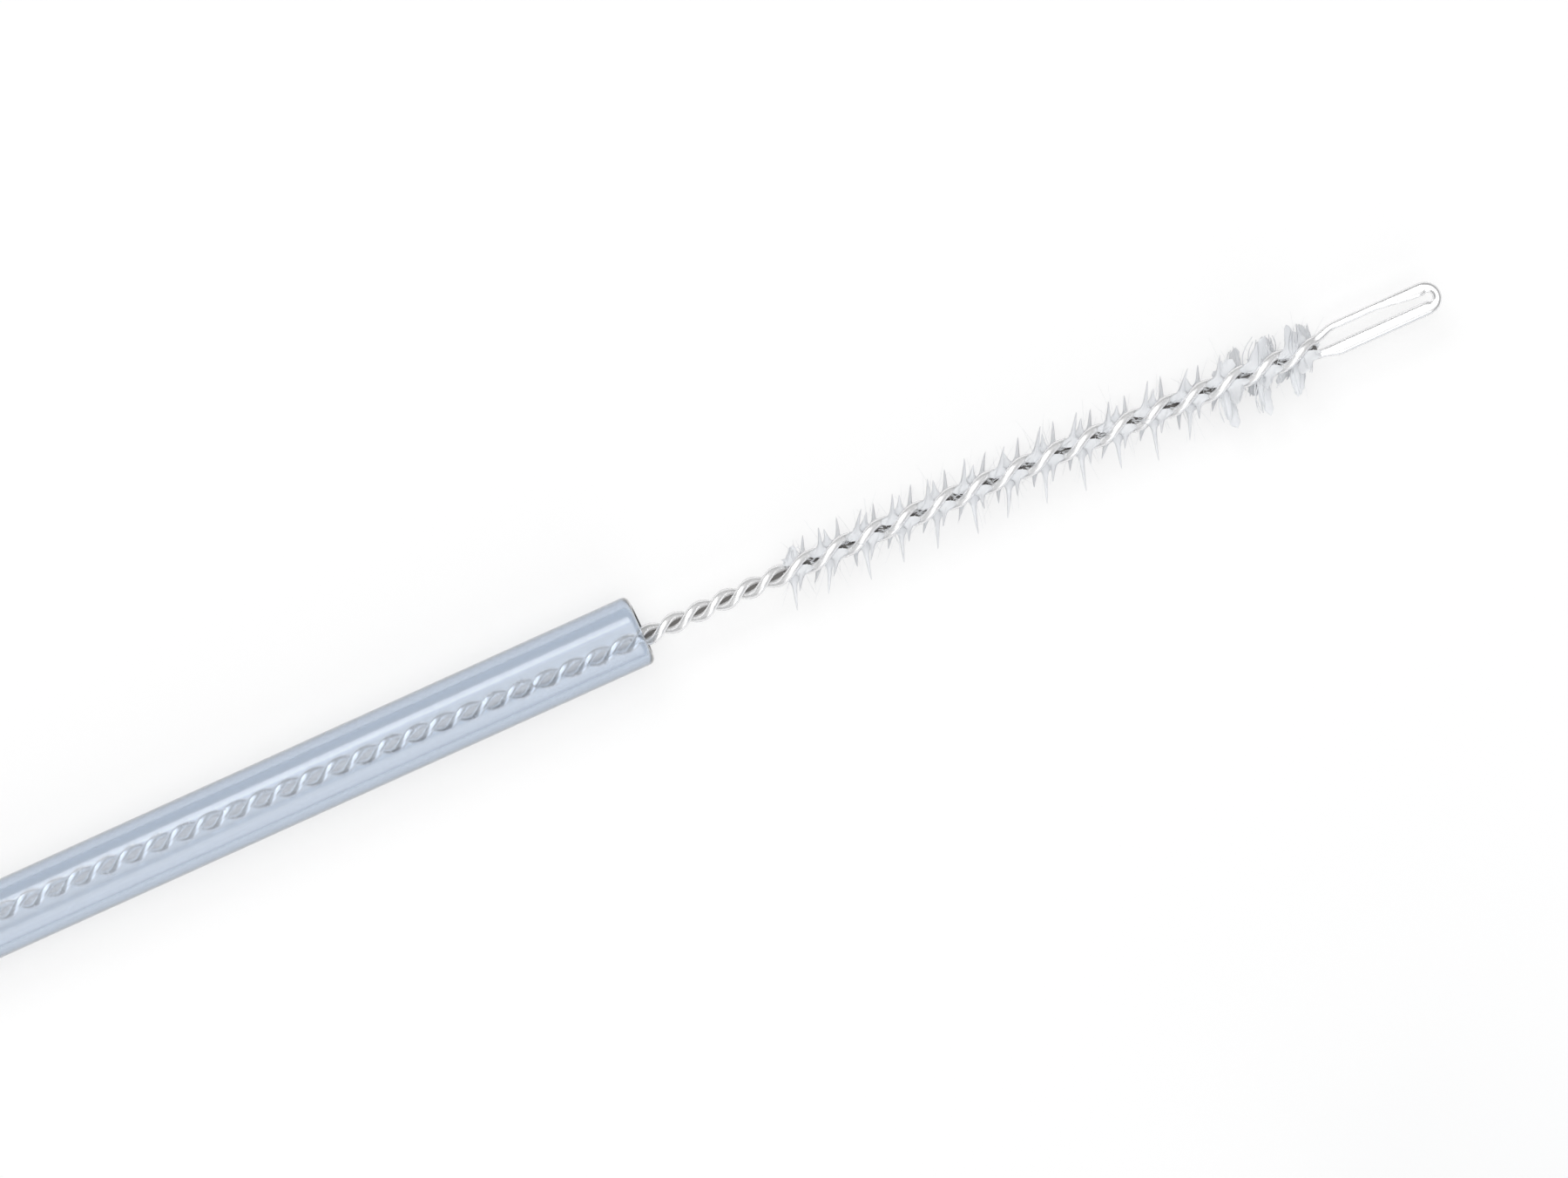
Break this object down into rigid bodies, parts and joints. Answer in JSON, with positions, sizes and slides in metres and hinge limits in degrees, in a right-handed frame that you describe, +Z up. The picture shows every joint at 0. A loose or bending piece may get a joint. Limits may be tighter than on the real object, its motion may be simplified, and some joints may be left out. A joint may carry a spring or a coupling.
{
  "type": "cytology brush",
  "caption": "Twisted wire brush with a loop tip and fine bristles, drawn into a long clear plastic sheath by a finger spool that slides on a slotted handle with a thumb ring.",
  "frame": {"origin": "on the table, under the middle of the box round the handle and the sheath's straight stretch", "axes": "+X along the straight sheath and the brush, from coil to tip, and along the handle to its thumb ring; +Z up from the table"},
  "size_m": [0.1478, 0.051, 0.009],
  "materials": {
    "clear_sheath": "clear bluish plastic, smooth",
    "steel_wire": "bright drawn steel",
    "nylon_bristle": "white translucent nylon",
    "white_moulding": "white moulded plastic, satin",
    "blue_moulding": "blue-grey moulded plastic, satin",
    "grey_sleeve": "grey soft plastic, matte",
    "brass_fitting": "turned brass"
  },
  "bodies": {
    "handle": {"handle_stem": "white_moulding", "nose_cap": "white_moulding", "strain_relief": "grey_sleeve", "ferrule": "brass_fitting", "sheath_end": "clear_sheath", "sheath_lead": "clear_sheath", "sheath_coil": "clear_sheath", "sheath_distal": "clear_sheath", "drive_wire": "steel_wire"},
    "spool": {"finger_spool": "blue_moulding", "wire_clamp": "brass_fitting", "clamp_screw_front": "steel_wire", "clamp_screw_rear": "steel_wire", "drive_tube": "steel_wire"},
    "brush": {"brush_wire": "steel_wire", "tuft_01": "nylon_bristle", "tuft_02": "nylon_bristle", "tuft_03": "nylon_bristle", "tuft_04": "nylon_bristle", "tuft_05": "nylon_bristle", "tuft_06": "nylon_bristle", "tuft_07": "nylon_bristle", "tuft_08": "nylon_bristle", "tuft_09": "nylon_bristle", "tuft_10": "nylon_bristle", "tuft_11": "nylon_bristle", "tuft_12": "nylon_bristle", "tuft_13": "nylon_bristle", "tuft_14": "nylon_bristle", "tuft_15": "nylon_bristle", "tuft_16": "nylon_bristle", "tuft_17": "nylon_bristle", "tuft_18": "nylon_bristle", "tuft_19": "nylon_bristle", "tuft_20": "nylon_bristle", "tuft_21": "nylon_bristle", "tuft_22": "nylon_bristle", "tuft_23": "nylon_bristle", "tuft_24": "nylon_bristle", "tuft_25": "nylon_bristle", "tuft_26": "nylon_bristle", "tuft_27": "nylon_bristle", "tuft_28": "nylon_bristle", "tuft_29": "nylon_bristle", "tuft_30": "nylon_bristle", "tuft_31": "nylon_bristle", "tuft_32": "nylon_bristle", "tuft_33": "nylon_bristle", "tuft_34": "nylon_bristle", "tuft_35": "nylon_bristle", "tuft_36": "nylon_bristle", "tuft_37": "nylon_bristle", "tuft_38": "nylon_bristle", "tuft_39": "nylon_bristle", "tuft_40": "nylon_bristle", "tuft_41": "nylon_bristle", "tuft_42": "nylon_bristle", "tuft_43": "nylon_bristle", "tuft_44": "nylon_bristle"}
  },
  "joints": [
    {"name": "spool_slide", "type": "slide", "parent": "handle", "child": "spool", "axis": [1, 0, 0], "range_m": [0, 0.0225]},
    {"name": "brush_slide", "type": "slide", "parent": "handle", "child": "brush", "axis": [-0.9998, 0.0196, 0], "range_m": [0, 0.0225], "deforming": ["drive_wire", "tuft_01", "tuft_02", "tuft_03", "tuft_04", "tuft_05", "tuft_06", "tuft_07", "tuft_08", "tuft_09", "tuft_10", "tuft_11", "tuft_12", "tuft_13", "tuft_14", "tuft_15", "tuft_16", "tuft_17", "tuft_18", "tuft_19", "tuft_20", "tuft_21", "tuft_22", "tuft_23", "tuft_24", "tuft_25", "tuft_26", "tuft_27", "tuft_28", "tuft_29", "tuft_30", "tuft_31", "tuft_32", "tuft_33", "tuft_34", "tuft_35", "tuft_36", "tuft_37", "tuft_38", "tuft_39", "tuft_40", "tuft_41", "tuft_42", "tuft_43", "tuft_44"]}
  ],
  "couplings": [
    {"joint": "brush_slide", "follows": "spool_slide", "ratio": 1}
  ]
}
